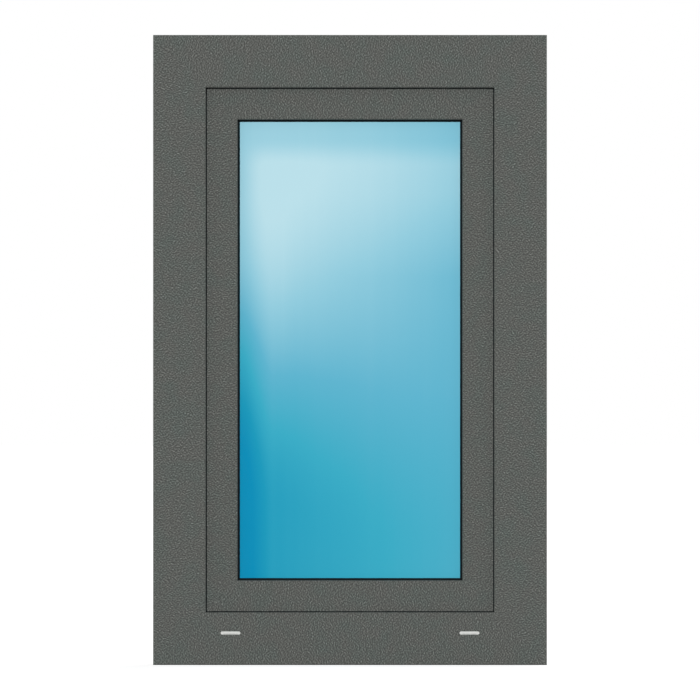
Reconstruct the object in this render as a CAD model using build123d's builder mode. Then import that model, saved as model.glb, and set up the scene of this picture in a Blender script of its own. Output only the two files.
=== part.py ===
from build123d import *
import os

os.makedirs("parts", exist_ok=True)

# Overall size of the window, in millimetres
window_width = 500.0
window_height = 800.0

# Frame profile. "Across" is measured from the window's outer edge towards the glass,
# "depth" from the outside face of the frame towards the room.
frame_depth = 70.0
frame_face = 67.0
frame_lip_height = 20.0
frame_lip_thickness = 10.0
frame_edge_radius = 2.0
rebate_fall = 1.2
gutter_ridge_height = 3.0
gutter_ridge_width = 2.5
gutter_ridge_depth = 29.0
keep_rail_height = 1.5
keep_rail_width = 1.8

# Sash profile
seal_gap = 3.0
rebate_air = 12.0
sash_overlap = 8.0
sash_overlap_thickness = 10.0
sash_face = 48.3
sash_edge_radius = 2.0
sash_inner_radius = 4.0
glazing_lip_height = 20.0
glazing_lip_thickness = 10.0

# Walls of the hollow profiles
outer_wall = 2.8
rib = 1.5

# Undercut groove that holds the foot of a seal
groove_inset = 3.4
groove_mouth = 3.0
groove_width = 4.6
groove_lip = 1.2
groove_depth = 2.8

# Grooves for the sash hardware and for the fixing clips on the frame's outer edge
hardware_from_overlap = 13.0
hardware_groove_width = 16.0
hardware_groove_step = 3.0
hardware_slot_width = 12.0
hardware_slot_depth = 8.0
clip_groove_mouth = 5.0
clip_groove_width = 9.0
clip_groove_lip = 1.8
clip_groove_depth = 5.0
clip_groove_front = 26.0
clip_groove_spacing = 23.0

# Sealed glass unit and the blocks that carry it
pane_thickness = 4.0
pane_arris = 0.5
glass_cavity = 16.0
glass_clearance = 5.0
edge_seal_width = 5.0
spacer_width = 6.5
spacer_chamfer = 3.0
block_length = 80.0
block_from_corner = 60.0
block_chamfer = 1.0

# Seals
frame_seal_reach = 1.2
frame_seal_width = 8.0
sash_seal_width = 6.5
sash_seal_inset = 1.0
glazing_seal_gap = 3.0
glazing_seal_reach = 2.8
glazing_seal_width = 13.0
seal_tip = 0.8

# Glazing beads
bead_foot_inset = 7.0
bead_foot_width = 4.0
bead_foot_depth = 4.5
bead_hook = 1.2
bead_hook_height = 1.6
bead_slope_height = 5.0
bead_slope_depth = 11.0
bead_round = 3.0
bead_wall = 1.8

# Drain slots: two through the outside face of the sill, with the inlets behind the sash,
# and two pairs in the sash that drain the glazing rebate
drain_length = 25.1
drain_height = 4.0
drain_from_side = 98.3
drain_below_rebate = 6.3
drain_recess = 0.3
drain_skin = 1.2
drain_wall = 0.5
drain_slit_height = 0.4
drain_slit_length = 18.0
inlet_length = 25.0
inlet_width = 4.0
inlet_offset = 45.0
inlet_from_lip = 4.0

# Handle
handle_across_sash = 32.0
plate_width = 30.0
plate_height = 68.0
plate_thickness = 11.0
plate_corner = 9.0
plate_edge = 2.0
collar_diameter = 23.0
collar_thickness = 3.0
neck_diameter = 15.0
neck_length = 13.0
lever_width = 19.0
lever_thickness = 12.0
lever_chamfer = 3.0
lever_standoff = 44.0
lever_bend = 13.0
lever_length = 122.0
lever_end = 2.0

# Hinges
barrel_radius = 7.0
barrel_gap = 1.0
barrel_chamfer = 1.2
hinge_clearance = 0.5
bearing_plate_thickness = 2.5
bearing_plate_width = 28.0
bearing_plate_low = 14.0
bearing_plate_high = 76.0
plate_round = 4.0
bearing_low = 28.0
bearing_high = 52.0
hinge_high = 94.0
strap_thickness = 3.0
strap_reach = 24.0
strap_from_sash_edge = 18.0
pin_diameter = 6.0
pin_play = 0.2
pin_foot = 6.0
pin_head_diameter = 10.0
pin_head_height = 3.0
pin_head_chamfer = 1.0

half_width = window_width / 2
half_height = window_height / 2
outside = -frame_depth / 2

# Lines of the sections, across
frame_rebate = frame_face - frame_lip_height
sash_rebate = frame_rebate + rebate_air
sash_outer_edge = frame_rebate - sash_overlap
glazing_edge = sash_rebate + sash_face
glazing_floor = glazing_edge - glazing_lip_height
glass_edge = glazing_floor + glass_clearance
mitre_reach = glazing_edge + glazing_lip_height

# Lines of the sections, in depth
sash_front = frame_lip_thickness + seal_gap
overlap_front = frame_depth + seal_gap
sash_back = overlap_front + sash_overlap_thickness
glazing_front = sash_front + glazing_lip_thickness
glass_front = glazing_front + glazing_seal_gap
cavity_front = glass_front + pane_thickness
cavity_back = cavity_front + glass_cavity
glass_back = cavity_back + pane_thickness
bead_front = glass_back + glazing_seal_gap
hardware_depth = overlap_front - hardware_from_overlap

# Middle of each seal groove, across
frame_seal_middle = frame_face - groove_inset
overlap_seal_middle = sash_outer_edge + groove_inset
glazing_seal_middle = glazing_edge - groove_inset - rib

# Elevation seen from outside, with its origin at the middle of the window
elevation = Plane(origin=(0, outside, half_height), x_dir=(1, 0, 0), z_dir=(0, -1, 0))

# Section plane of each side, with x across the bar and y in depth
section_planes = {
    "bottom": Plane(origin=(0, outside, 0), x_dir=(0, 0, 1), z_dir=(-1, 0, 0)),
    "top": Plane(origin=(0, outside, window_height), x_dir=(0, 0, -1), z_dir=(1, 0, 0)),
    "left": Plane(origin=(-half_width, outside, half_height), x_dir=(1, 0, 0), z_dir=(0, 0, 1)),
    "right": Plane(origin=(half_width, outside, half_height), x_dir=(-1, 0, 0), z_dir=(0, 0, -1)),
}


def half_length(side):
    """Half the length of the bar on one side of the window."""
    return half_width if side in ("bottom", "top") else half_height


def mitre_outline(side):
    """Corners of the area that the bar of one side covers, cut along the 45 degree mitres."""
    w, h, m = half_width, half_height, mitre_reach
    if side in ("bottom", "top"):
        up = 1 if side == "bottom" else -1
        return [(-w, -h * up), (w, -h * up), (w - m, (m - h) * up), (m - w, (m - h) * up)]
    right = 1 if side == "left" else -1
    return [(-w * right, -h), ((m - w) * right, m - h), ((m - w) * right, h - m), (-w * right, h)]


def box(near, far, front, back, mode=Mode.SUBTRACT):
    """Rectangle in a section, from one distance across to another, between two depths."""
    with Locations(((near + far) / 2, (front + back) / 2)):
        Rectangle(far - near, back - front, mode=mode)


def seal_groove(middle, face, into, mode=Mode.SUBTRACT):
    """Undercut groove, or the seal's foot that fills it. Into is 1 or -1, towards more or less depth."""
    box_ends = sorted((face, face + into * groove_lip))
    box(middle - groove_mouth / 2, middle + groove_mouth / 2, *box_ends, mode=mode)
    box_ends = sorted((face + into * groove_lip, face + into * groove_depth))
    box(middle - groove_width / 2, middle + groove_width / 2, *box_ends, mode=mode)


def ring_path(across):
    """Rectangle around the window at one distance across, from the middle of the bottom side."""
    w, h = half_width - across, half_height - across
    with BuildLine(elevation) as path:
        Polyline((0, -h), (-w, -h), (-w, h), (w, h), (w, -h), (0, -h))
    return path.line


# Frame bars, mitred and welded at the corners
clip_groove_back = clip_groove_front + clip_groove_spacing
front_chamber_end = clip_groove_front - clip_groove_width / 2 - rib
middle_chamber_end = clip_groove_back + clip_groove_width / 2
frame_chamber_top = frame_rebate - rebate_fall - outer_wall

frame_nodes = {
    "bottom": "frame_sill",
    "top": "frame_head",
    "left": "frame_jamb_left",
    "right": "frame_jamb_right",
}

for side, node in frame_nodes.items():
    with BuildPart() as frame_bar:
        with BuildSketch(section_planes[side]):
            with BuildLine():
                FilletPolyline(
                    (0, 0),
                    (frame_face, 0),
                    (frame_face, frame_lip_thickness),
                    (frame_rebate - rebate_fall, frame_lip_thickness),
                    (frame_rebate, gutter_ridge_depth),
                    (frame_rebate, frame_depth),
                    (0, frame_depth),
                    radius=[frame_edge_radius, frame_edge_radius, 0.6, 0, 0, 1.0, 1.0],
                    close=True,
                )
            make_face()
            # Ridge beside the gutter, and the rails that the lock's keeps sit between
            box(
                frame_rebate,
                frame_rebate + gutter_ridge_height,
                gutter_ridge_depth,
                gutter_ridge_depth + gutter_ridge_width,
                mode=Mode.ADD,
            )
            for rail in (-1, 1):
                rail_depth = hardware_depth + rail * hardware_slot_width / 2
                box(
                    frame_rebate,
                    frame_rebate + keep_rail_height,
                    rail_depth - keep_rail_width / 2,
                    rail_depth + keep_rail_width / 2,
                    mode=Mode.ADD,
                )
            seal_groove(frame_seal_middle, frame_lip_thickness, -1)
            # Clip grooves on the outer edge
            for middle in (clip_groove_front, clip_groove_back):
                box(0, clip_groove_lip, middle - clip_groove_mouth / 2, middle + clip_groove_mouth / 2)
                box(
                    clip_groove_lip,
                    clip_groove_depth,
                    middle - clip_groove_width / 2,
                    middle + clip_groove_width / 2,
                )
            # Chambers: the lip, the drained front, the reinforcement and the room side
            box(
                frame_rebate - outer_wall + rib,
                frame_seal_middle - groove_width / 2 - rib,
                outer_wall,
                frame_lip_thickness - outer_wall,
            )
            box(outer_wall, frame_chamber_top, outer_wall, front_chamber_end)
            box(
                clip_groove_depth + outer_wall,
                frame_chamber_top,
                front_chamber_end + rib,
                middle_chamber_end,
            )
            box(
                outer_wall,
                frame_rebate - outer_wall,
                middle_chamber_end + rib,
                frame_depth - outer_wall,
            )
        extrude(amount=half_length(side), both=True)
        with BuildSketch(elevation):
            with BuildLine():
                Polyline(*mitre_outline(side), close=True)
            make_face()
        extrude(amount=2 * frame_depth, both=True, mode=Mode.INTERSECT)
        if side == "bottom":
            # Drain slots through the outside wall, and inlets from the gutter behind the sash
            with BuildSketch(elevation):
                for across in (-1, 1):
                    slot_x = across * (half_width - drain_from_side)
                    with Locations((slot_x, frame_rebate - drain_below_rebate - half_height)):
                        SlotOverall(drain_length, drain_height)
            extrude(amount=-outer_wall, mode=Mode.SUBTRACT)
            with BuildSketch(Plane.XY.offset(frame_rebate)):
                for across in (-1, 1):
                    inlet_x = across * (half_width - drain_from_side - inlet_offset)
                    with Locations((inlet_x, outside + frame_lip_thickness + inlet_from_lip)):
                        SlotOverall(inlet_length, inlet_width)
            extrude(amount=frame_chamber_top - frame_rebate, mode=Mode.SUBTRACT)
    frame_bar.part.label = node
    export_step(frame_bar.part, f"parts/{node}.step")

# Inserts in the drain slots, open behind and with a drip slit along the lower edge
for node, across in (("drain_cover_left", -1), ("drain_cover_right", 1)):
    cover_x = across * (half_width - drain_from_side)
    cover_y = frame_rebate - drain_below_rebate - half_height
    with BuildPart() as drain_cover:
        with BuildSketch(elevation.offset(-drain_recess)):
            with Locations((cover_x, cover_y)):
                SlotOverall(drain_length, drain_height)
        extrude(amount=drain_recess - outer_wall)
        with BuildSketch(elevation.offset(-drain_recess - drain_skin)):
            with Locations((cover_x, cover_y)):
                SlotOverall(drain_length - 2 * drain_wall, drain_height - 2 * drain_wall)
        extrude(amount=-outer_wall, mode=Mode.SUBTRACT)
        with BuildSketch(elevation):
            slit_y = cover_y - drain_height / 2 + drain_wall + drain_slit_height / 2
            with Locations((cover_x, slit_y)):
                Rectangle(drain_slit_length, drain_slit_height)
        extrude(amount=-outer_wall, mode=Mode.SUBTRACT)
    drain_cover.part.label = node
    export_step(drain_cover.part, f"parts/{node}.step")

# Seal in the frame's lip, against the outside face of the sash
with BuildPart() as frame_gasket:
    with BuildSketch(section_planes["bottom"]):
        with BuildLine():
            Polyline(
                (frame_face, frame_lip_thickness),
                (frame_face + frame_seal_reach, sash_front - seal_tip),
                (frame_face + frame_seal_reach, sash_front),
                (frame_face + frame_seal_reach - frame_seal_width, sash_front),
                (frame_seal_middle - groove_width / 2, frame_lip_thickness),
                close=True,
            )
        make_face()
        seal_groove(frame_seal_middle, frame_lip_thickness, -1, mode=Mode.ADD)
    sweep(path=ring_path(frame_seal_middle), transition=Transition.RIGHT)
frame_gasket.part.label = "frame_gasket"
export_step(frame_gasket.part, "parts/frame_gasket.step")

# Sash bars, mitred and welded at the corners
hardware_front = hardware_depth - hardware_groove_width / 2
hardware_floor = sash_rebate + hardware_groove_step + hardware_slot_depth
foot_front = bead_front + bead_foot_inset
foot_back = foot_front + bead_foot_width
foot_floor = glazing_floor - bead_foot_depth
sash_front_chamber_end = glass_front + rib
sash_chamber_top = glazing_floor - outer_wall

sash_nodes = {
    "bottom": "sash_bottom_rail",
    "top": "sash_top_rail",
    "left": "sash_stile_left",
    "right": "sash_stile_right",
}

for side, node in sash_nodes.items():
    with BuildPart() as sash_bar:
        with BuildSketch(section_planes[side]):
            with BuildLine():
                FilletPolyline(
                    (sash_rebate, sash_front),
                    (glazing_edge, sash_front),
                    (glazing_edge, glazing_front),
                    (glazing_floor, glazing_front),
                    (glazing_floor, sash_back),
                    (sash_outer_edge, sash_back),
                    (sash_outer_edge, overlap_front),
                    (sash_rebate, overlap_front),
                    radius=[1.0, sash_edge_radius, 0.6, 0, 0, sash_inner_radius, 0.6, 0],
                    close=True,
                )
            make_face()
            seal_groove(glazing_seal_middle, glazing_front, -1)
            seal_groove(overlap_seal_middle, overlap_front, 1)
            # Groove with a hook for the bead's foot
            box(foot_floor, glazing_floor, foot_front, foot_back)
            box(foot_floor, foot_floor + bead_hook_height, foot_back, foot_back + bead_hook)
            # Hardware groove
            box(
                sash_rebate,
                sash_rebate + hardware_groove_step,
                hardware_front,
                hardware_front + hardware_groove_width,
            )
            box(
                sash_rebate + hardware_groove_step,
                hardware_floor,
                hardware_depth - hardware_slot_width / 2,
                hardware_depth + hardware_slot_width / 2,
            )
            # Chambers: the glazing lip, the drained front, the reinforcement, the core, the overlap
            box(
                sash_chamber_top + rib,
                glazing_seal_middle - groove_width / 2 - rib,
                sash_front + outer_wall,
                glazing_front - outer_wall,
            )
            box(
                sash_rebate + outer_wall,
                sash_chamber_top,
                sash_front + outer_wall,
                sash_front_chamber_end,
            )
            box(
                sash_rebate + outer_wall,
                sash_chamber_top,
                sash_front_chamber_end + rib,
                hardware_front - outer_wall,
            )
            box(
                hardware_floor + rib,
                foot_floor - rib,
                hardware_front - outer_wall + rib,
                overlap_front - rib,
            )
            box(
                overlap_seal_middle + groove_width / 2 + rib,
                sash_chamber_top,
                overlap_front + outer_wall,
                sash_back - outer_wall,
            )
        extrude(amount=half_length(side), both=True)
        with BuildSketch(elevation):
            with BuildLine():
                Polyline(*mitre_outline(side), close=True)
            make_face()
        extrude(amount=2 * frame_depth, both=True, mode=Mode.INTERSECT)
        if side == "bottom":
            # Slots that drain the glazing rebate into the front chamber, and that into the gutter
            with BuildSketch(Plane.XY.offset(glazing_floor)):
                for across in (-1, 1):
                    slot_x = across * (half_width - drain_from_side - inlet_offset)
                    with Locations((slot_x, outside + glazing_front + inlet_width / 2)):
                        SlotOverall(inlet_length, inlet_width)
            extrude(amount=-outer_wall, mode=Mode.SUBTRACT)
            with BuildSketch(Plane.XY.offset(sash_rebate)):
                for across in (-1, 1):
                    slot_x = across * (half_width - drain_from_side)
                    with Locations((slot_x, outside + glazing_front - inlet_width / 2)):
                        SlotOverall(inlet_length, inlet_width)
            extrude(amount=outer_wall, mode=Mode.SUBTRACT)
    sash_bar.part.label = node
    export_step(sash_bar.part, f"parts/{node}.step")

# Seal in the sash's overlap, against the room side of the frame
with BuildPart() as sash_gasket:
    with BuildSketch(section_planes["bottom"]):
        with BuildLine():
            Polyline(
                (sash_outer_edge + sash_seal_inset, overlap_front - seal_tip),
                (sash_outer_edge + sash_seal_inset, frame_depth),
                (sash_outer_edge + sash_seal_inset + sash_seal_width, frame_depth),
                (overlap_seal_middle + groove_width / 2, overlap_front),
                (overlap_seal_middle - groove_width / 2, overlap_front),
                close=True,
            )
        make_face()
        seal_groove(overlap_seal_middle, overlap_front, 1, mode=Mode.ADD)
    sweep(path=ring_path(overlap_seal_middle), transition=Transition.RIGHT)
sash_gasket.part.label = "sash_gasket"
export_step(sash_gasket.part, "parts/sash_gasket.step")

# Sealed glass unit: two panes, the spacer between them and the seal around it
for node, front in (("glass_pane_outer", glass_front), ("glass_pane_inner", cavity_back)):
    with BuildPart() as pane:
        with BuildSketch(elevation.offset(-front)):
            Rectangle(window_width - 2 * glass_edge, window_height - 2 * glass_edge)
        extrude(amount=-pane_thickness)
        pane_faces = pane.faces().sort_by(Axis.Y)
        chamfer(pane_faces[0].edges() + pane_faces[-1].edges(), pane_arris)
    pane.part.label = node
    export_step(pane.part, f"parts/{node}.step")

spacer_edge = glass_edge + edge_seal_width

with BuildPart() as glass_edge_seal:
    with BuildSketch(section_planes["bottom"]):
        with BuildLine():
            Polyline(
                (glass_edge, cavity_front),
                (spacer_edge + spacer_chamfer, cavity_front),
                (spacer_edge, cavity_front + spacer_chamfer),
                (spacer_edge, cavity_back - spacer_chamfer),
                (spacer_edge + spacer_chamfer, cavity_back),
                (glass_edge, cavity_back),
                close=True,
            )
        make_face()
    sweep(path=ring_path(glass_edge), transition=Transition.RIGHT)
glass_edge_seal.part.label = "glass_edge_seal"
export_step(glass_edge_seal.part, "parts/glass_edge_seal.step")

with BuildPart() as glass_spacer:
    with BuildSketch(section_planes["bottom"]):
        with BuildLine():
            Polyline(
                (spacer_edge + spacer_chamfer, cavity_front),
                (spacer_edge + spacer_width, cavity_front),
                (spacer_edge + spacer_width, cavity_back),
                (spacer_edge + spacer_chamfer, cavity_back),
                (spacer_edge, cavity_back - spacer_chamfer),
                (spacer_edge, cavity_front + spacer_chamfer),
                close=True,
            )
        make_face()
    sweep(path=ring_path(spacer_edge), transition=Transition.RIGHT)
glass_spacer.part.label = "glass_spacer"
export_step(glass_spacer.part, "parts/glass_spacer.step")

for node, across in (("setting_block_left", -1), ("setting_block_right", 1)):
    with BuildPart() as block:
        with BuildSketch(elevation.offset(-glass_front)):
            block_x = across * (half_width - glass_edge - block_from_corner)
            with Locations((block_x, glazing_floor + glass_clearance / 2 - half_height)):
                Rectangle(block_length, glass_clearance)
        extrude(amount=glass_front - glass_back)
        chamfer(block.edges().filter_by(Axis.Z), block_chamfer)
    block.part.label = node
    export_step(block.part, f"parts/{node}.step")

# Seals on both sides of the glass: one in the sash's glazing lip, one in the beads
seal_edge = glazing_edge + glazing_seal_reach

with BuildPart() as glazing_gasket_outer:
    with BuildSketch(section_planes["bottom"]):
        with BuildLine():
            Polyline(
                (seal_edge - glazing_seal_width, glazing_front),
                (glazing_edge, glazing_front),
                (seal_edge, glass_front - seal_tip),
                (seal_edge, glass_front),
                (seal_edge - glazing_seal_width, glass_front),
                close=True,
            )
        make_face()
        seal_groove(glazing_seal_middle, glazing_front, -1, mode=Mode.ADD)
    sweep(path=ring_path(glazing_seal_middle), transition=Transition.RIGHT)
glazing_gasket_outer.part.label = "glazing_gasket_outer"
export_step(glazing_gasket_outer.part, "parts/glazing_gasket_outer.step")

with BuildPart() as glazing_gasket_inner:
    with BuildSketch(section_planes["bottom"]):
        with BuildLine():
            Polyline(
                (seal_edge - glazing_seal_width, glass_back),
                (seal_edge, glass_back),
                (seal_edge, glass_back + seal_tip),
                (glazing_edge, bead_front),
                (seal_edge - glazing_seal_width, bead_front),
                close=True,
            )
        make_face()
        seal_groove(glazing_seal_middle, bead_front, 1, mode=Mode.ADD)
    sweep(path=ring_path(glazing_seal_middle), transition=Transition.RIGHT)
glazing_gasket_inner.part.label = "glazing_gasket_inner"
export_step(glazing_gasket_inner.part, "parts/glazing_gasket_inner.step")

# Glazing beads, clipped into the sash
bead_nodes = {
    "bottom": "glazing_bead_bottom",
    "top": "glazing_bead_top",
    "left": "glazing_bead_left",
    "right": "glazing_bead_right",
}

for side, node in bead_nodes.items():
    with BuildPart() as bead:
        with BuildSketch(section_planes[side]):
            with BuildLine():
                FilletPolyline(
                    (glazing_floor, bead_front),
                    (glazing_edge, bead_front),
                    (glazing_edge, sash_back - bead_slope_depth),
                    (glazing_edge - bead_slope_height, sash_back),
                    (glazing_floor, sash_back),
                    radius=[0, 0.6, bead_round, bead_round, 0.6],
                    close=True,
                )
            make_face()
            box(foot_floor, glazing_floor, foot_front, foot_back, mode=Mode.ADD)
            box(
                foot_floor,
                foot_floor + bead_hook_height,
                foot_back,
                foot_back + bead_hook,
                mode=Mode.ADD,
            )
            seal_groove(glazing_seal_middle, bead_front, 1)
            box(
                glazing_floor + bead_wall,
                glazing_edge - bead_slope_height - bead_wall,
                bead_front + groove_depth + bead_wall,
                sash_back - bead_wall,
            )
        extrude(amount=half_length(side), both=True)
        with BuildSketch(elevation):
            with BuildLine():
                Polyline(*mitre_outline(side), close=True)
            make_face()
        extrude(amount=2 * frame_depth, both=True, mode=Mode.INTERSECT)
    bead.part.label = node
    export_step(bead.part, f"parts/{node}.step")

# Handle on the room side of the right stile, with its lever pointing down
handle_x = half_width - sash_outer_edge - handle_across_sash
sash_inside = outside + sash_back
plate_face = plate_thickness + collar_thickness

with BuildPart() as handle_plate:
    with BuildSketch(elevation.offset(-sash_back)):
        with Locations((handle_x, 0)):
            RectangleRounded(plate_width, plate_height, plate_corner)
    extrude(amount=-plate_thickness)
    chamfer(handle_plate.faces().sort_by(Axis.Y)[-1].edges(), plate_edge)
    with BuildSketch(elevation.offset(-sash_back - plate_thickness)):
        with Locations((handle_x, 0)):
            Circle(collar_diameter / 2)
    extrude(amount=-collar_thickness)
handle_plate.part.label = "handle_plate"
export_step(handle_plate.part, "parts/handle_plate.step")

# Spindle axis of the handle, from the sash towards the room, and the plane of its bend
spindle = Plane(origin=(handle_x, sash_inside, half_height), x_dir=(1, 0, 0), z_dir=(0, 1, 0))
lever_side = Plane(origin=(handle_x, sash_inside, half_height), x_dir=(0, 1, 0), z_dir=(1, 0, 0))
grip_start = plate_face + neck_length - lever_chamfer

with BuildPart() as handle_lever:
    with BuildLine(lever_side) as lever_path:
        FilletPolyline(
            (grip_start, 0),
            (lever_standoff, 0),
            (lever_standoff, -lever_length),
            radius=lever_bend,
        )
    with BuildSketch(spindle.offset(grip_start)) as grip_section:
        Rectangle(lever_width, lever_thickness)
        chamfer(grip_section.vertices(), lever_chamfer)
    sweep(path=lever_path.line)
    chamfer(handle_lever.faces().sort_by(Axis.Z)[0].edges(), lever_end)
    with BuildSketch(spindle.offset(plate_face)):
        Circle(neck_diameter / 2)
    extrude(amount=neck_length)
handle_lever.part.label = "handle_lever"
export_step(handle_lever.part, "parts/handle_lever.step")

# Hinges on the room side of the left jamb: the corner hinge below and the stay hinge above
barrel_across = sash_outer_edge - barrel_gap - barrel_radius
barrel_depth = frame_depth + bearing_plate_thickness + hinge_clearance + barrel_radius
barrel_middle = (-half_width + barrel_across, outside + barrel_depth)
bearing_plate_x = barrel_middle[0] + barrel_radius - bearing_plate_width / 2
room_face = outside + frame_depth
strap_low = sash_outer_edge + strap_from_sash_edge
hinge_low = bearing_high + hinge_clearance
pin_seat = bearing_low + pin_foot
pin_bore = (pin_diameter + pin_play) / 2

for place, upper in (("corner", False), ("stay", True)):
    free_end = -1 if upper else 0
    up = 1 if upper else -1

    def level(low, high):
        """Foot of a piece between two heights, both counted from the nearest corner."""
        return Plane.XY.offset(window_height - high if upper else low)

    def height(low, high):
        """Middle of a piece in the elevation, between two heights from the nearest corner."""
        return up * (half_height - (low + high) / 2)

    with BuildPart() as bearing:
        with BuildSketch(level(bearing_low, bearing_high)):
            with Locations(barrel_middle):
                Circle(barrel_radius)
            with Locations((barrel_middle[0], (room_face + barrel_middle[1]) / 2)):
                Rectangle(2 * barrel_radius, barrel_middle[1] - room_face)
        extrude(amount=bearing_high - bearing_low)
        chamfer(bearing.faces().sort_by(Axis.Z)[free_end].edges(), barrel_chamfer)
        with BuildSketch(elevation.offset(-frame_depth)):
            with Locations((bearing_plate_x, height(bearing_plate_low, bearing_plate_high))):
                RectangleRounded(
                    bearing_plate_width, bearing_plate_high - bearing_plate_low, plate_round
                )
        extrude(amount=-bearing_plate_thickness)
        with BuildSketch(level(pin_seat, bearing_high)):
            with Locations(barrel_middle):
                Circle(pin_bore)
        extrude(amount=bearing_high - pin_seat, mode=Mode.SUBTRACT)
    bearing.part.label = f"{place}_bearing"
    export_step(bearing.part, f"parts/{place}_bearing.step")

    with BuildPart() as hinge:
        with BuildSketch(level(hinge_low, hinge_high)):
            with Locations(barrel_middle):
                Circle(barrel_radius)
        extrude(amount=hinge_high - hinge_low)
        chamfer(hinge.faces().sort_by(Axis.Z)[-1 - free_end].edges(), barrel_chamfer)
        with BuildSketch(elevation.offset(-sash_back)):
            strap_far = -half_width + sash_outer_edge + strap_reach
            strap_x = (barrel_middle[0] + strap_far) / 2
            with Locations((strap_x, height(strap_low, hinge_high - barrel_chamfer))):
                RectangleRounded(
                    strap_far - barrel_middle[0], hinge_high - barrel_chamfer - strap_low, plate_round
                )
        extrude(amount=-strap_thickness)
        with BuildSketch(level(hinge_low, hinge_high)):
            with Locations(barrel_middle):
                Circle(pin_bore)
        extrude(amount=hinge_high - hinge_low, mode=Mode.SUBTRACT)
    hinge.part.label = f"{place}_hinge"
    export_step(hinge.part, f"parts/{place}_hinge.step")

    with BuildPart() as pin:
        with BuildSketch(level(pin_seat, hinge_high)):
            with Locations(barrel_middle):
                Circle(pin_diameter / 2)
        extrude(amount=hinge_high - pin_seat)
        with BuildSketch(level(hinge_high, hinge_high + pin_head_height)):
            with Locations(barrel_middle):
                Circle(pin_head_diameter / 2)
        extrude(amount=pin_head_height)
        chamfer(pin.faces().sort_by(Axis.Z)[-1 - free_end].edges(), pin_head_chamfer)
    pin.part.label = f"{place}_pin"
    export_step(pin.part, f"parts/{place}_pin.step")
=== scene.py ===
import math

import bpy
from bpy.props import FloatProperty, FloatVectorProperty, PointerProperty
from bpy.types import Operator, Panel, PropertyGroup
from mathutils import Matrix, Vector


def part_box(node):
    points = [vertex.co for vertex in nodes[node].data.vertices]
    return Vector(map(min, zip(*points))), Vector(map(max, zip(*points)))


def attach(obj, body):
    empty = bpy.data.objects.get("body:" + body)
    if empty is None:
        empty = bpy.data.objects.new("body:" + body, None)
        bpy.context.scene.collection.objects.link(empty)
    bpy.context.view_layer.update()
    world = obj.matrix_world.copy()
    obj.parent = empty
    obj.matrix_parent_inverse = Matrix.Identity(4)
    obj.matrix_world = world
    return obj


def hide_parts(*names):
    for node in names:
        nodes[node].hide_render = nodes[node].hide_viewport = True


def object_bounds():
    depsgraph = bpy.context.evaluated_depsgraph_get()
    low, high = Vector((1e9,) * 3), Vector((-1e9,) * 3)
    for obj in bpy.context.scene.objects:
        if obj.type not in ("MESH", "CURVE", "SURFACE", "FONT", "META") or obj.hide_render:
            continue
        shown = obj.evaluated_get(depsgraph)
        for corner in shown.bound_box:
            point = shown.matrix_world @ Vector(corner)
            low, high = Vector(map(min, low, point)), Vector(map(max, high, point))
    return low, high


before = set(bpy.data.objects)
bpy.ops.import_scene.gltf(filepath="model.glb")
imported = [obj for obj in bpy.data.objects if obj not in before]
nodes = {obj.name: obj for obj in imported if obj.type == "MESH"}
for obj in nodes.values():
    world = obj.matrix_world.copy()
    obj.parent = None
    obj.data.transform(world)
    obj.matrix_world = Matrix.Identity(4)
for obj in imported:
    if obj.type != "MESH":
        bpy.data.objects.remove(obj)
solid_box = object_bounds()

bl_info = {
    "name": "Dark grey window",
    "version": (1, 0, 0),
    "blender": (4, 5, 0),
    "location": "3D View > Sidebar > Window",
    "description": "Finishes the window's frame, sash, glass and fittings, and sets up a plain stage",
    "category": "Object",
}

LYING_BARS = ("frame_sill", "frame_head", "sash_bottom_rail", "sash_top_rail",
              "glazing_bead_bottom", "glazing_bead_top")
STANDING_BARS = ("frame_jamb_left", "frame_jamb_right", "sash_stile_left", "sash_stile_right",
                 "glazing_bead_left", "glazing_bead_right")
SEALS = ("frame_gasket", "sash_gasket", "glazing_gasket_outer", "glazing_gasket_inner",
         "glass_edge_seal")
DRAIN_COVERS = ("drain_cover_left", "drain_cover_right")
BLOCKS = ("setting_block_left", "setting_block_right")
HINGE_PARTS = ("corner_bearing", "corner_hinge", "stay_bearing", "stay_hinge")
PINS = ("corner_pin", "stay_pin")

# Width of the outer pane's rim that the sash and its seal cover, seen from outside.
PANE_HIDDEN = 0.0178
# Faces that turn by less than this are shaded as one, and sharper edges of a copied node are rounded.
SMOOTH_ANGLE = math.radians(35.0)
# Points of a merged mesh that are nearer than this become one.
SAME_POINT = 0.00001
WHITE = (1.0, 1.0, 1.0, 1.0)


def colour(name, description, default):
    """A colour that the user can change."""
    return FloatVectorProperty(name=name, description=description, default=default,
                               subtype="COLOR", size=4, min=0.0, max=1.0)


def length(name, description, default):
    """A length that the user can change."""
    return FloatProperty(name=name, description=description, default=default,
                         unit="LENGTH", min=0.0, precision=4)


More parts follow.
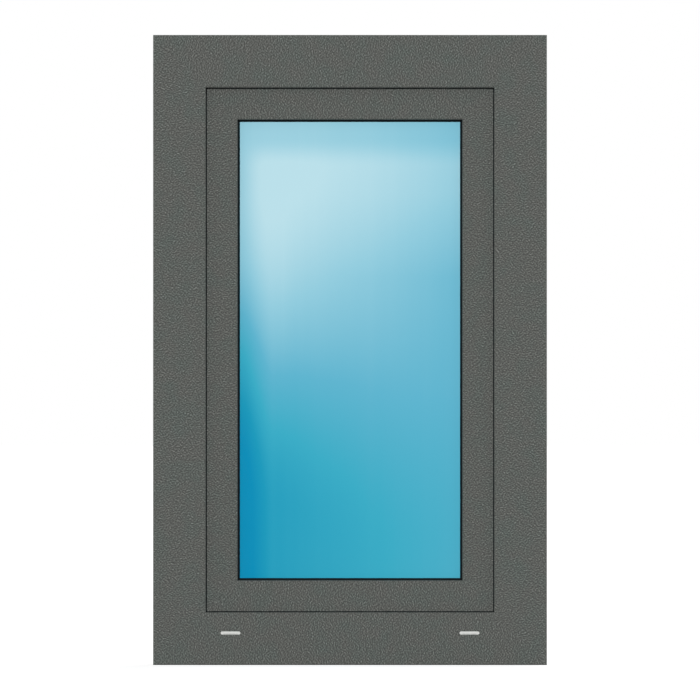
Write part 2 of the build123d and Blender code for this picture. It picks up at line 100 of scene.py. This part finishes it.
class WindowFinishes(PropertyGroup):
    """Colours of the window and the size of its foil's grain"""
    foil_grey: colour("Foil grey", "Neutral tone of the grained foil", (0.0958, 0.0998, 0.0924, 1))
    foil_green: colour("Foil green grey", "Cooler tone of the grained foil", (0.0882, 0.1018, 0.0934, 1))
    grain_length: length("Grain length", "Size of the foil's grain across a bar", 0.0040)
    grain_width: length("Grain width", "Size of the foil's grain along a bar", 0.0034)
    seal_black: colour("Seal", "Black rubber of the seals", (0.004, 0.006, 0.007, 1))
    drain_grey: colour("Drain cover", "Light grey plastic of the drain covers", (0.645, 0.655, 0.63, 1))
    block_grey: colour("Setting block", "Grey plastic under the glass unit", (0.2, 0.2, 0.2, 1))
    spacer_metal: colour("Spacer", "Mill finished aluminium", (0.6, 0.61, 0.62, 1))
    silver: colour("Handle and hinges", "Satin silver metal", (0.365, 0.365, 0.36, 1))
    zinc: colour("Pins and screws", "Zinc plated steel", (0.30, 0.30, 0.295, 1))
    # The glass colours are the pane's blue tint and the stops of a painted sky reflection over it, from
    # deep blue low on the left to a pale painted highlight band near the top.
    glass_deep: colour("Glass, deep", "Lower left corner of the pane", (0.001, 0.275, 0.490, 1))
    glass_blue: colour("Glass, blue", "Lower part of the pane", (0.009, 0.320, 0.500, 1))
    glass_mid: colour("Glass, middle", "Lower right part of the pane", (0.041, 0.410, 0.562, 1))
    glass_light: colour("Glass, light", "Middle of the pane", (0.112, 0.455, 0.620, 1))
    glass_sky: colour("Glass, sky", "Upper part of the pane", (0.282, 0.597, 0.720, 1))
    glass_pale: colour("Glass, pale", "Bright band near the top of the pane", (0.487, 0.735, 0.812, 1))
    clear_glass: colour("Clear glass", "Tint of the inner pane", (0.90, 0.97, 0.95, 1))


class WindowSizes(PropertyGroup):
    """Sizes of the pieces that are modelled here"""
    lever_width: length("Lever width", "Width of the grip", 0.019)
    lever_thickness: length("Lever thickness", "Thickness of the grip", 0.012)
    neck_diameter: length("Neck", "Diameter of the lever's neck", 0.015)
    bend_radius: length("Bend", "Radius of the bend between neck and grip", 0.013)
    screw_head: length("Screw head", "Diameter of a screw's head", 0.008)
    edge_round: length("Edge round", "Rounding of the edges of the hinges and pins", 0.0005)
    plate_round: length("Plate round", "Rounding of the edges of the handle plate", 0.0008)


class WindowStage(PropertyGroup):
    """Camera, floor and light"""
    lens: FloatProperty(name="Lens", description="Focal length in millimetres", default=800.0, min=1.0)
    sensor: FloatProperty(name="Sensor", description="Sensor width in millimetres", default=36.0, min=1.0)
    picture_width: length("Picture width", "Width seen at the outside face of the frame", 0.8887)
    floor_size: length("Floor", "Side of the square floor", 90.0)
    front_light: FloatProperty(name="Front light", description="Light on the outside face",
                               default=2.22, min=0.0)
    room_light: FloatProperty(name="Room light", description="Light on the room face",
                              default=2.45, min=0.0)
    side_light: FloatProperty(name="Side light", description="Light on each side", default=1.6, min=0.0)
    sky_light: FloatProperty(name="Surrounding light", description="Light from all round",
                             default=0.36, min=0.0)


def add(tree, kind, settings=None, **inputs):
    """Adds a node, with its settings, and fills or links its inputs by name."""
    node = tree.nodes.new("ShaderNode" + kind)
    for key, value in (settings or {}).items():
        setattr(node, key, value)
    for key, value in inputs.items():
        join(tree, value, node.inputs[key.replace("_", " ")])
    return node


def join(tree, value, socket):
    """Links another socket to this one, or writes a plain value into it."""
    if isinstance(value, bpy.types.NodeSocket):
        tree.links.new(value, socket)
    else:
        socket.default_value = value


def calculate(tree, operation, first, second=0.0, third=0.0, clamp=False):
    """A sum on up to three numbers."""
    node = tree.nodes.new("ShaderNodeMath")
    node.operation = operation
    node.use_clamp = clamp
    for value, socket in zip((first, second, third), node.inputs):
        join(tree, value, socket)
    return node.outputs["Value"]


def spread(tree, value, low, high, to_low=0.0, to_high=1.0, shape="LINEAR"):
    """Carries a number from one range to another, held at both ends."""
    node = add(tree, "MapRange", {"interpolation_type": shape}, Value=value, From_Min=low,
               From_Max=high, To_Min=to_low, To_Max=to_high)
    return node.outputs["Result"]


def product(tree, *factors):
    """All the numbers multiplied together."""
    total = factors[0]
    for factor in factors[1:]:
        total = calculate(tree, "MULTIPLY", total, factor)
    return total


def blend_numbers(tree, factor, first, second):
    """Mixes two numbers."""
    node = add(tree, "Mix")
    for value, socket in ((factor, 0), (first, 2), (second, 3)):
        join(tree, value, node.inputs[socket])
    return node.outputs[0]


def blend_colours(tree, factor, first, second, mode="MIX"):
    """Mixes two colours."""
    node = add(tree, "Mix", {"data_type": "RGBA", "blend_type": mode})
    for value, socket in ((factor, 0), (first, 6), (second, 7)):
        join(tree, value, node.inputs[socket])
    return node.outputs[2]


def stretched(tree, place, scale):
    """The place, scaled by its own amount along each axis."""
    return add(tree, "Mapping", Vector=place, Scale=scale).outputs["Vector"]


def noise(tree, place, scale, detail=2.0):
    """A cloudy pattern of numbers around a half."""
    return add(tree, "TexNoise", Vector=place, Scale=scale, Detail=detail).outputs["Fac"]


def times(plain, share):
    """A colour, made darker or lighter by a share."""
    return tuple(part * share for part in plain[:3]) + (1.0,)


def new_material(name, **inputs):
    """A material with its main shader set, and the node tree and that shader beside it."""
    material = bpy.data.materials.new(name)
    material.use_nodes = True
    tree = material.node_tree
    surface = tree.nodes["Principled BSDF"]
    for key, value in inputs.items():
        surface.inputs[key.replace("_", " ")].default_value = value
    return material, tree, surface


def raise_surface(tree, surface, height, strength, distance):
    """Gives the surface a fine relief from a pattern."""
    bump = add(tree, "Bump", Strength=strength, Distance=distance, Height=height)
    tree.links.new(bump.outputs["Normal"], surface.inputs["Normal"])


def dress(names, material):
    """Puts a material on CAD nodes."""
    for name in names:
        for slot in nodes[name].material_slots:
            slot.material = material


def foil(name, along, across):
    """Grained foil, laid along a bar, over its outer and inner faces and round its edges."""
    finish = bpy.context.scene.window_finishes
    material, tree, surface = new_material(name, Specular_IOR_Level=0.12)
    place = add(tree, "TexCoord").outputs
    at = add(tree, "SeparateXYZ", Vector=place["Object"]).outputs
    facing = add(tree, "SeparateXYZ", Vector=place["Normal"]).outputs
    facing_limit = 0.7
    on_face = calculate(tree, "GREATER_THAN", calculate(tree, "ABSOLUTE", facing["Y"]), facing_limit)
    around_bar = blend_numbers(tree, on_face, at["Y"], at[across])
    flat = add(tree, "CombineXYZ", X=at[along], Y=around_bar).outputs["Vector"]
    scale = (1 / finish.grain_width, 1 / finish.grain_length, 1)
    grain = add(tree, "TexGabor", Vector=stretched(tree, flat, scale), Scale=1.0, Frequency=1.2,
                Anisotropy=0.2, Orientation=0.0).outputs["Value"]
    patch = noise(tree, place["Object"], 40.0)
    tone = blend_colours(tree, spread(tree, patch, 0.4, 0.75), finish.foil_grey, finish.foil_green)
    # Grain in the foil's colour, partly its own tone and partly painted shade and painted highlight of its
    # relief: the hollows stay even and the crests stand out.
    hollow_light, crest_light = 0.62, 1.82
    crest = calculate(tree, "POWER", spread(tree, grain, 0.3, 0.9), 1.5)
    light = calculate(tree, "MULTIPLY_ADD", crest, crest_light, hollow_light)
    shade = add(tree, "CombineColor", Red=light, Green=light, Blue=light).outputs["Color"]
    # Painted shade and highlight of the grain's relief, multiplied into the foil's tone.
    grained = blend_colours(tree, 1.0, tone, shade, "MULTIPLY")
    tree.links.new(grained, surface.inputs["Base Color"])
    tree.links.new(spread(tree, grain, 0.3, 0.7, 0.72, 0.58), surface.inputs["Roughness"])
    raise_surface(tree, surface, grain, 0.35, 0.0002)
    return material


def rubber(name):
    """Black seal rubber with a faint mould texture."""
    finish = bpy.context.scene.window_finishes
    material, tree, surface = new_material(name, Specular_IOR_Level=0.08)
    place = add(tree, "TexCoord").outputs["Object"]
    grain = noise(tree, place, 900.0)
    cloud = noise(tree, place, 25.0, 1.0)
    worn = times(finish.seal_black, 1.5)
    tree.links.new(blend_colours(tree, cloud, finish.seal_black, worn), surface.inputs["Base Color"])
    tree.links.new(spread(tree, grain, 0.3, 0.7, 0.6, 0.75), surface.inputs["Roughness"])
    raise_surface(tree, surface, grain, 0.2, 0.0001)
    return material


def moulded_plastic(name, plain, roughness=0.45):
    """Smooth moulded plastic with a faint mottling."""
    material, tree, surface = new_material(name, Specular_IOR_Level=0.3)
    place = add(tree, "TexCoord").outputs["Object"]
    cloud = noise(tree, place, 180.0, 3.0)
    mottled = blend_colours(tree, cloud, plain, times(plain, 0.93))
    tree.links.new(mottled, surface.inputs["Base Color"])
    tree.links.new(spread(tree, cloud, 0.3, 0.7, roughness, roughness + 0.12), surface.inputs["Roughness"])
    raise_surface(tree, surface, cloud, 0.15, 0.0001)
    return material


def satin_metal(name, plain, roughness):
    """Metal with fine upright brush marks and a cloudy sheen."""
    material, tree, surface = new_material(name, Metallic=1.0)
    place = add(tree, "TexCoord").outputs["Object"]
    marks_per_metre = (900.0, 900.0, 60.0)
    brushed = noise(tree, stretched(tree, place, marks_per_metre), 1.0, 3.0)
    cloudy = blend_colours(tree, noise(tree, place, 70.0), plain, times(plain, 0.86))
    tree.links.new(cloudy, surface.inputs["Base Color"])
    tree.links.new(spread(tree, brushed, 0.3, 0.7, roughness - 0.06, roughness + 0.08),
                   surface.inputs["Roughness"])
    raise_surface(tree, surface, brushed, 0.12, 0.0001)
    return material


def spacer_metal():
    """Aluminium spacer with a row of fine holes along the middle of its inner face."""
    finish = bpy.context.scene.window_finishes
    material, tree, surface = new_material("spacer_aluminium", Metallic=1.0, Roughness=0.35)
    place = add(tree, "TexCoord").outputs["Object"]
    at = add(tree, "SeparateXYZ", Vector=place).outputs
    low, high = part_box("glass_spacer")
    middle = (low[1] + high[1]) / 2
    pitch, hole_radius, soft_edge = 0.004, 0.0004, 0.0002
    off_line = calculate(tree, "ABSOLUTE", calculate(tree, "SUBTRACT", at["Y"], middle))
    upright = calculate(tree, "PINGPONG", at["Z"], pitch / 2)
    level = calculate(tree, "PINGPONG", at["X"], pitch / 2)
    off_hole = calculate(tree, "MINIMUM", upright, level)
    reach = calculate(tree, "MAXIMUM", off_line, off_hole)
    hole = spread(tree, reach, hole_radius, hole_radius + soft_edge, 1.0, 0.0)
    dark = times(finish.spacer_metal, 0.15)
    tree.links.new(blend_colours(tree, hole, finish.spacer_metal, dark), surface.inputs["Base Color"])
    raise_surface(tree, surface, calculate(tree, "SUBTRACT", 1.0, hole), 0.6, 0.0003)
    return material


def blue_glass_painted_reflection():
    """Blue tinted pane with a painted sky reflection: a bright band near the top that fades to deep blue
    low on the left.
    """
    finish = bpy.context.scene.window_finishes
    material, tree, surface = new_material("blue_glass_painted_reflection", Specular_IOR_Level=0.06)
    place = add(tree, "TexCoord").outputs["Object"]
    at = add(tree, "SeparateXYZ", Vector=place).outputs
    low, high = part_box("glass_pane_outer")
    side = spread(tree, at["X"], low[0] + PANE_HIDDEN, high[0] - PANE_HIDDEN)
    rise = spread(tree, at["Z"], low[2] + PANE_HIDDEN, high[2] - PANE_HIDDEN)

    # Painted sky reflection: dark below and light above. The fade starts higher and ends lower on the
    # left.
    across = spread(tree, side, 0.2, 0.97)
    back = calculate(tree, "SUBTRACT", 1.0, across)
    lower = spread(tree, across, 0.0, 1.0, 0.15, 0.29)
    upper = calculate(tree, "MULTIPLY_ADD", calculate(tree, "POWER", across, 1.6), -0.13, 0.745)
    fade_start = calculate(tree, "MULTIPLY_ADD", calculate(tree, "POWER", back, 2.0), 0.15,
                           product(tree, across, 0.05))
    fade_end = calculate(tree, "MULTIPLY_ADD", calculate(tree, "POWER", across, 0.6), 0.2, 0.85)
    fade = spread(tree, rise, fade_start, fade_end, shape="SMOOTHSTEP")
    bright = blend_numbers(tree, fade, lower, upper)

    # A slightly darker band along the top of the painted reflection.
    top = spread(tree, rise, 0.9, 0.965, shape="SMOOTHSTEP")
    bright = product(tree, bright, spread(tree, top, 0.0, 1.0, 1.0, 0.81))

    # Painted shade: a darker strip along the left edge, wider and deeper below and almost gone in the top
    # band.
    edge_width = spread(tree, rise, 0.5, 0.85, 0.16, 0.118)
    edge = product(tree, spread(tree, side, 0.0, edge_width, 1.0, 0.0, shape="SMOOTHSTEP"),
                   spread(tree, rise, 0.5, 0.7, 0.2, 0.134), spread(tree, top, 0.0, 1.0, 1.0, 0.1))
    bright = calculate(tree, "SUBTRACT", bright, edge)

    # A faint dip in the painted reflection above the middle, which grows towards the right.
    middle = product(tree, spread(tree, rise, 0.4, 0.66), spread(tree, rise, 0.66, 0.84, 1.0, 0.0))
    dip = product(tree, middle, product(tree, across, 0.075))
    bright = calculate(tree, "SUBTRACT", bright, dip)

    # Very faint upright bands in the painted reflection.
    banded = noise(tree, stretched(tree, place, (60.0, 0.0, 0.6)), 1.0, 1.0)
    ripple = calculate(tree, "MULTIPLY_ADD", banded, 0.02, -0.01)
    bright = calculate(tree, "ADD", bright, ripple, clamp=True)

    # The ramp turns the level of the painted reflection into colour over the pane's blue tint.
    ramp = add(tree, "ValToRGB", Fac=bright)
    stops = ramp.color_ramp.elements
    tones = ((0.016, finish.glass_deep), (0.11, finish.glass_blue), (0.235, finish.glass_mid),
             (0.376, finish.glass_light), (0.56, finish.glass_sky), (0.73, finish.glass_pale))
    stops[0].position, stops[0].color = tones[0]
    stops[1].position, stops[1].color = tones[-1]
    for position, tone in tones[1:-1]:
        stops.new(position).color = tone
    tree.links.new(ramp.outputs["Color"], surface.inputs["Base Color"])
    smear = noise(tree, place, 30.0)
    tree.links.new(spread(tree, smear, 0.3, 0.7, 0.03, 0.07), surface.inputs["Roughness"])
    return material


def clear_glass():
    """Clear float glass with a faint green tint."""
    finish = bpy.context.scene.window_finishes
    material, tree, surface = new_material("clear_glass", Transmission_Weight=1.0, Alpha=0.35, IOR=1.45)
    place = add(tree, "TexCoord").outputs["Object"]
    smear = noise(tree, place, 22.0)
    tint = times(finish.clear_glass, 0.96)
    tree.links.new(blend_colours(tree, smear, finish.clear_glass, tint), surface.inputs["Base Color"])
    tree.links.new(spread(tree, smear, 0.3, 0.7, 0.0, 0.03), surface.inputs["Roughness"])
    return material


def choose(piece):
    """Makes this the one selected and active object."""
    bpy.ops.object.select_all(action="DESELECT")
    piece.select_set(True)
    bpy.context.view_layer.objects.active = piece


def apply_place():
    """Brings the selected object's place, turn and scale into its mesh."""
    bpy.ops.object.transform_apply(location=True, rotation=True, scale=True)


def deselect_faces():
    """Leaves no face of the active mesh selected."""
    bpy.ops.object.mode_set(mode="EDIT")
    bpy.ops.mesh.select_mode(type="FACE")
    bpy.ops.mesh.select_all(action="DESELECT")
    bpy.ops.object.mode_set(mode="OBJECT")


def settle(piece, name, material, standing_for=()):
    """Names a finished piece, brings its place into its mesh, and lets it ride on the window."""
    choose(piece)
    apply_place()
    piece.name = name
    piece.data.name = name
    piece.data.materials.clear()
    piece.data.materials.append(material)
    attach(piece, "root")
    if standing_for:
        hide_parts(*standing_for)


def apply_modifier(piece, kind, **settings):
    """Adds a modifier to the piece and applies it."""
    modifier = piece.modifiers.new(kind.lower(), kind)
    for key, value in settings.items():
        setattr(modifier, key, value)
    bpy.context.view_layer.objects.active = piece
    bpy.ops.object.modifier_apply(modifier=modifier.name)


def rounded_copy(node_name, name, round_size, material):
    """A copy of a CAD node with its faces merged and its edges rounded, which stands for the node."""
    piece = nodes[node_name].copy()
    piece.data = nodes[node_name].data.copy()
    piece.parent = None
    piece.matrix_world = Matrix.Identity(4)
    bpy.context.scene.collection.objects.link(piece)
    choose(piece)
    bpy.ops.mesh.customdata_custom_splitnormals_clear()
    bpy.ops.object.mode_set(mode="EDIT")
    bpy.ops.mesh.select_all(action="SELECT")
    bpy.ops.mesh.remove_doubles(threshold=SAME_POINT)
    bpy.ops.mesh.dissolve_limited(angle_limit=math.radians(1.0))
    bpy.ops.mesh.normals_make_consistent(inside=False)
    bpy.ops.object.mode_set(mode="OBJECT")
    apply_modifier(piece, "BEVEL", width=round_size, segments=3, limit_method="ANGLE",
                   angle_limit=SMOOTH_ANGLE)
    bpy.ops.object.shade_smooth_by_angle(angle=SMOOTH_ANGLE)
    settle(piece, name, material, (node_name,))


class WINDOW_OT_foil(Operator):
    """Puts the grained foil on the frame, the sash and the glazing beads"""
    bl_idname = "window.foil"
    bl_label = "Foil"

    def execute(self, context):
        dress(LYING_BARS, foil("foil_lying_bars", "X", "Z"))
        dress(STANDING_BARS, foil("foil_standing_bars", "Z", "X"))
        return {"FINISHED"}


class WINDOW_OT_seals(Operator):
    """Puts black rubber on every seal"""
    bl_idname = "window.seals"
    bl_label = "Seals"

    def execute(self, context):
        dress(SEALS, rubber("seal_rubber"))
        return {"FINISHED"}


class WINDOW_OT_glass_unit(Operator):
    """Finishes the panes, the spacer between them and the blocks under them"""
    bl_idname = "window.glass_unit"
    bl_label = "Glass unit"

    def execute(self, context):
        finish = context.scene.window_finishes
        dress(("glass_pane_outer",), blue_glass_painted_reflection())
        dress(("glass_pane_inner",), clear_glass())
        dress(("glass_spacer",), spacer_metal())
        dress(BLOCKS, moulded_plastic("block_plastic", finish.block_grey, 0.55))
        return {"FINISHED"}


class WINDOW_OT_drain_covers(Operator):
    """Puts light grey plastic on the drain covers"""
    bl_idname = "window.drain_covers"
    bl_label = "Drain covers"

    def execute(self, context):
        dress(DRAIN_COVERS, moulded_plastic("drain_plastic", context.scene.window_finishes.drain_grey))
        return {"FINISHED"}


class WINDOW_OT_hinges(Operator):
    """Rounds and finishes the bearings, the hinges and their pins"""
    bl_idname = "window.hinges"
    bl_label = "Hinges"

    def execute(self, context):
        finish = context.scene.window_finishes
        sizes = context.scene.window_sizes
        silver = satin_metal("satin_silver", finish.silver, 0.36)
        zinc = satin_metal("zinc_plate", finish.zinc, 0.3)
        for name in HINGE_PARTS:
            rounded_copy(name, name + "_cast", sizes.edge_round, silver)
        for name in PINS:
            rounded_copy(name, name + "_turned", sizes.edge_round, zinc)
        return {"FINISHED"}


class WINDOW_OT_handle_plate(Operator):
    """Rounds and finishes the plate and collar under the handle"""
    bl_idname = "window.handle_plate"
    bl_label = "Handle plate"

    def execute(self, context):
        rounded_copy("handle_plate", "handle_rose", context.scene.window_sizes.plate_round,
                     bpy.data.materials["satin_silver"])
        return {"FINISHED"}


class WINDOW_OT_handle_lever(Operator):
    """Models the lever: a round neck, a bend and an oval grip that narrows towards its end"""
    bl_idname = "window.handle_lever"
    bl_label = "Handle lever"

    def execute(self, context):
        sizes = context.scene.window_sizes
        low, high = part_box("handle_lever")
        x = (low[0] + high[0]) / 2
        z = high[2] - sizes.neck_diameter / 2
        standoff = high[1] - sizes.lever_thickness / 2
        bend_start = standoff - sizes.bend_radius
        bpy.ops.object.select_all(action="DESELECT")
        bpy.ops.mesh.primitive_circle_add(vertices=40, radius=sizes.neck_diameter / 2, fill_type="NGON",
                                          location=(x, low[1], z), rotation=(math.radians(-90), 0, 0))
        lever = context.active_object
        apply_place()
        bpy.ops.object.mode_set(mode="EDIT")
        bpy.ops.mesh.select_mode(type="FACE")
        bpy.ops.mesh.select_all(action="SELECT")

        def pull(step, wide=1.0, thick=(1.0, 1.0), centre=(0.0, 0.0, 0.0)):
            """Extrudes the end face by a step, then widens or narrows it about a centre."""
            bpy.ops.mesh.extrude_region_move(TRANSFORM_OT_translate={"value": step})
            bpy.ops.transform.resize(value=(wide, thick[0], thick[1]), center_override=centre)

        # The round neck turns oval just before the bend.
        oval_length, oval_steps = 0.007, 4
        neck_end = bend_start - oval_length
        pull((0, neck_end - low[1], 0))
        widen = (sizes.lever_width / sizes.neck_diameter) ** (1 / oval_steps)
        flatten = (sizes.lever_thickness / sizes.neck_diameter) ** (1 / oval_steps)
        advance = oval_length / oval_steps
        for step in range(1, oval_steps + 1):
            pull((0, advance, 0), widen, (1.0, flatten), (x, neck_end + advance * step, z))
        bpy.ops.mesh.spin(steps=10, angle=math.radians(90), axis=(1, 0, 0),
                          center=(x, bend_start, z - sizes.bend_radius))
        # The grip narrows in even steps, and its end is rounded in shorter ones.
        rounded_end, grip_steps = 0.004, 6
        grip_top = z - sizes.bend_radius
        run = (grip_top - low[2] - rounded_end) / grip_steps
        for step in range(1, grip_steps + 1):
            pull((0, 0, -run), 0.985, (0.995, 1.0), (x, standoff, grip_top - run * step))
        end = grip_top - run * grip_steps
        for drop, shrink in ((0.0016, 0.955), (0.0013, 0.88), (0.0007, 0.75), (0.0003, 0.6)):
            end -= drop
            pull((0, 0, -drop), shrink, (shrink, 1.0), (x, standoff, end))
        bpy.ops.mesh.select_all(action="SELECT")
        bpy.ops.mesh.remove_doubles(threshold=SAME_POINT)
        bpy.ops.mesh.normals_make_consistent(inside=False)
        bpy.ops.object.mode_set(mode="OBJECT")
        bpy.ops.object.shade_smooth_by_angle(angle=math.radians(40.0))
        settle(lever, "handle_grip", bpy.data.materials["satin_silver"],
               ("handle_lever",))
        return {"FINISHED"}


class WINDOW_OT_screws(Operator):
    """Models one cross recessed screw head and sets it into the bearings and hinge straps"""
    bl_idname = "window.screws"
    bl_label = "Hinge screws"

    def execute(self, context):
        zinc = bpy.data.materials["zinc_plate"]
        head = self.screw_head(context.scene.window_sizes.screw_head / 2)
        for count, spot in enumerate(self.spots(), start=1):
            screw = head.copy()
            screw.data = head.data.copy()
            screw.data.transform(Matrix.Translation(Vector(spot)))
            context.scene.collection.objects.link(screw)
            settle(screw, f"hinge_screw_{count}", zinc)
        bpy.data.objects.remove(head)
        return {"FINISHED"}

    def screw_head(self, radius):
        """A low domed head with a cross recess, which faces the room."""
        height, recess = 0.002, 0.0008
        bpy.ops.object.select_all(action="DESELECT")
        bpy.ops.mesh.primitive_cylinder_add(vertices=32, radius=radius, depth=height,
                                            location=(0, 0, 0), rotation=(math.radians(-90), 0, 0))
        head = bpy.context.active_object
        apply_place()
        deselect_faces()
        for face in head.data.polygons:
            face.select = face.normal.y > 0.9
        bpy.ops.object.mode_set(mode="EDIT")
        bpy.ops.mesh.bevel(offset=radius * 0.3, segments=5, affect="EDGES", profile=0.5)
        bpy.ops.object.mode_set(mode="OBJECT")
        for turn in (0, 90):
            bpy.ops.object.select_all(action="DESELECT")
            bpy.ops.mesh.primitive_cube_add(size=1.0, location=(0, height / 2, 0),
                                            rotation=(0, math.radians(turn), 0),
                                            scale=(radius * 1.15, recess * 2, radius * 0.28))
            cutter = bpy.context.active_object
            apply_place()
            apply_modifier(head, "BOOLEAN", operation="DIFFERENCE", solver="EXACT", object=cutter)
            bpy.data.objects.remove(cutter)
        choose(head)
        bpy.ops.object.shade_smooth_by_angle(angle=SMOOTH_ANGLE)
        return head

    def spots(self):
        """Where the screws stand: two on the plate of each bearing and two on the strap of each hinge."""
        plate_thickness, plate_inset, plate_end = 0.0025, 0.0072, 0.0075
        strap_thickness, strap_inset, strap_half_pitch = 0.003, 0.0095, 0.0105
        plate_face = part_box("frame_jamb_left")[1][1] + plate_thickness
        strap_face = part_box("sash_stile_left")[1][1] + strap_thickness
        found = []
        for place in ("corner", "stay"):
            bearing_low, bearing_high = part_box(place + "_bearing")
            for z in (bearing_low[2] + plate_end, bearing_high[2] - plate_end):
                found.append((bearing_low[0] + plate_inset, plate_face, z))
            hinge_low, hinge_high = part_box(place + "_hinge")
            middle = (hinge_low[2] + hinge_high[2]) / 2
            for z in (middle - strap_half_pitch, middle + strap_half_pitch):
                found.append((hinge_high[0] - strap_inset, strap_face, z))
        return found


class WINDOW_OT_stage(Operator):
    """Sets up the floor, the surrounding light, the lamps and the camera"""
    bl_idname = "window.stage"
    bl_label = "Stage"

    def execute(self, context):
        scene = context.scene
        stage = scene.window_stage
        low, high = solid_box
        scene.view_settings.view_transform = "Standard"

        bpy.ops.object.select_all(action="DESELECT")
        bpy.ops.mesh.primitive_plane_add(size=stage.floor_size, location=(0, 0, low[2]))
        floor = context.active_object
        floor.name = "floor"
        floor.data.materials.append(self.floor_material())

        world = bpy.data.worlds.new("studio")
        world.use_nodes = True
        scene.world = world
        tree = world.node_tree
        tree.nodes.clear()
        seen = self.seen_directly(tree)
        around = add(tree, "Background", Color=WHITE, Strength=stage.sky_light)
        backdrop = add(tree, "Background", Color=WHITE, Strength=1.0)
        either = add(tree, "MixShader", Fac=seen)
        tree.links.new(around.outputs["Background"], either.inputs[1])
        tree.links.new(backdrop.outputs["Background"], either.inputs[2])
        out = tree.nodes.new("ShaderNodeOutputWorld")
        tree.links.new(either.outputs["Shader"], out.inputs["Surface"])

        # Each lamp's name, the way towards it, its strength and the width of its disc in degrees.
        lamps = (("front_lamp", (-0.05, -1.0, 0.14), stage.front_light, 10),
                 ("room_lamp", (0.40, 1.0, 0.55), stage.room_light, 25),
                 ("left_lamp", (-1.0, 0.15, 0.35), stage.side_light, 35),
                 ("right_lamp", (1.0, 0.15, 0.35), stage.side_light, 35))
        for name, way, strength, disc in lamps:
            lamp = bpy.data.lights.new(name, "SUN")
            lamp.energy = strength
            lamp.angle = math.radians(disc)
            holder = bpy.data.objects.new(name, lamp)
            holder.rotation_euler = Vector(way).to_track_quat("Z", "Y").to_euler()
            holder.location = Vector(way) * 3
            scene.collection.objects.link(holder)

        camera = bpy.data.cameras.new("camera")
        camera.lens = stage.lens
        camera.sensor_width = stage.sensor
        camera.clip_end = 200.0
        holder = bpy.data.objects.new("camera", camera)
        distance = stage.picture_width * stage.lens / stage.sensor
        holder.location = (0, low[1] - distance, (low[2] + high[2]) / 2)
        holder.rotation_euler = (math.radians(90), 0, 0)
        scene.collection.objects.link(holder)
        scene.camera = holder
        return {"FINISHED"}

    def seen_directly(self, tree):
        """1 for what the camera sees itself, in a reflection or through glass, and 0 for other light."""
        rays = add(tree, "LightPath").outputs
        mirrored = calculate(tree, "MAXIMUM", rays["Is Glossy Ray"], rays["Is Transmission Ray"])
        return calculate(tree, "MAXIMUM", rays["Is Camera Ray"], mirrored)

    def floor_material(self):
        """White floor that still shows a faint shadow."""
        grey = (0.27, 0.27, 0.27, 1.0)
        duller = (0.25, 0.25, 0.25, 1.0)
        material, tree, surface = new_material("floor_white", Roughness=0.9, Specular_IOR_Level=0.0)
        cloud = noise(tree, add(tree, "TexCoord").outputs["Object"], 3.0)
        tree.links.new(blend_colours(tree, cloud, grey, duller), surface.inputs["Base Color"])
        white = add(tree, "Emission", Color=WHITE, Strength=0.8)
        shaded = add(tree, "BsdfDiffuse", Color=grey)
        bright = tree.nodes.new("ShaderNodeAddShader")
        tree.links.new(white.outputs["Emission"], bright.inputs[0])
        tree.links.new(shaded.outputs["BSDF"], bright.inputs[1])
        both = add(tree, "MixShader", Fac=self.seen_directly(tree))
        tree.links.new(surface.outputs["BSDF"], both.inputs[1])
        tree.links.new(bright.outputs["Shader"], both.inputs[2])
        tree.links.new(both.outputs["Shader"], tree.nodes["Material Output"].inputs["Surface"])
        return material


class WINDOW_PT_panel(Panel):
    """Lists the finishes and steps of the window"""
    bl_idname = "WINDOW_PT_panel"
    bl_label = "Dark grey window"
    bl_space_type = "VIEW_3D"
    bl_region_type = "UI"
    bl_category = "Window"

    def draw(self, context):
        layout = self.layout
        for group in (context.scene.window_finishes, context.scene.window_sizes,
                      context.scene.window_stage):
            box = layout.box()
            for name in group.__annotations__:
                box.prop(group, name)
        for step in steps:
            layout.operator(step.bl_idname)


steps = (WINDOW_OT_stage, WINDOW_OT_foil, WINDOW_OT_seals, WINDOW_OT_glass_unit, WINDOW_OT_drain_covers,
         WINDOW_OT_hinges, WINDOW_OT_handle_plate, WINDOW_OT_handle_lever, WINDOW_OT_screws)
groups = (WindowFinishes, WindowSizes, WindowStage)


def register():
    for item in groups + steps + (WINDOW_PT_panel,):
        bpy.utils.register_class(item)
    bpy.types.Scene.window_finishes = PointerProperty(type=WindowFinishes)
    bpy.types.Scene.window_sizes = PointerProperty(type=WindowSizes)
    bpy.types.Scene.window_stage = PointerProperty(type=WindowStage)


def unregister():
    del bpy.types.Scene.window_stage
    del bpy.types.Scene.window_sizes
    del bpy.types.Scene.window_finishes
    for item in reversed(groups + steps + (WINDOW_PT_panel,)):
        bpy.utils.unregister_class(item)


def main():
    register()
    bpy.ops.window.stage()
    bpy.ops.window.foil()
    bpy.ops.window.seals()
    bpy.ops.window.glass_unit()
    bpy.ops.window.drain_covers()
    bpy.ops.window.hinges()
    bpy.ops.window.handle_plate()
    bpy.ops.window.handle_lever()
    bpy.ops.window.screws()


if __name__ == "__main__":
    main()
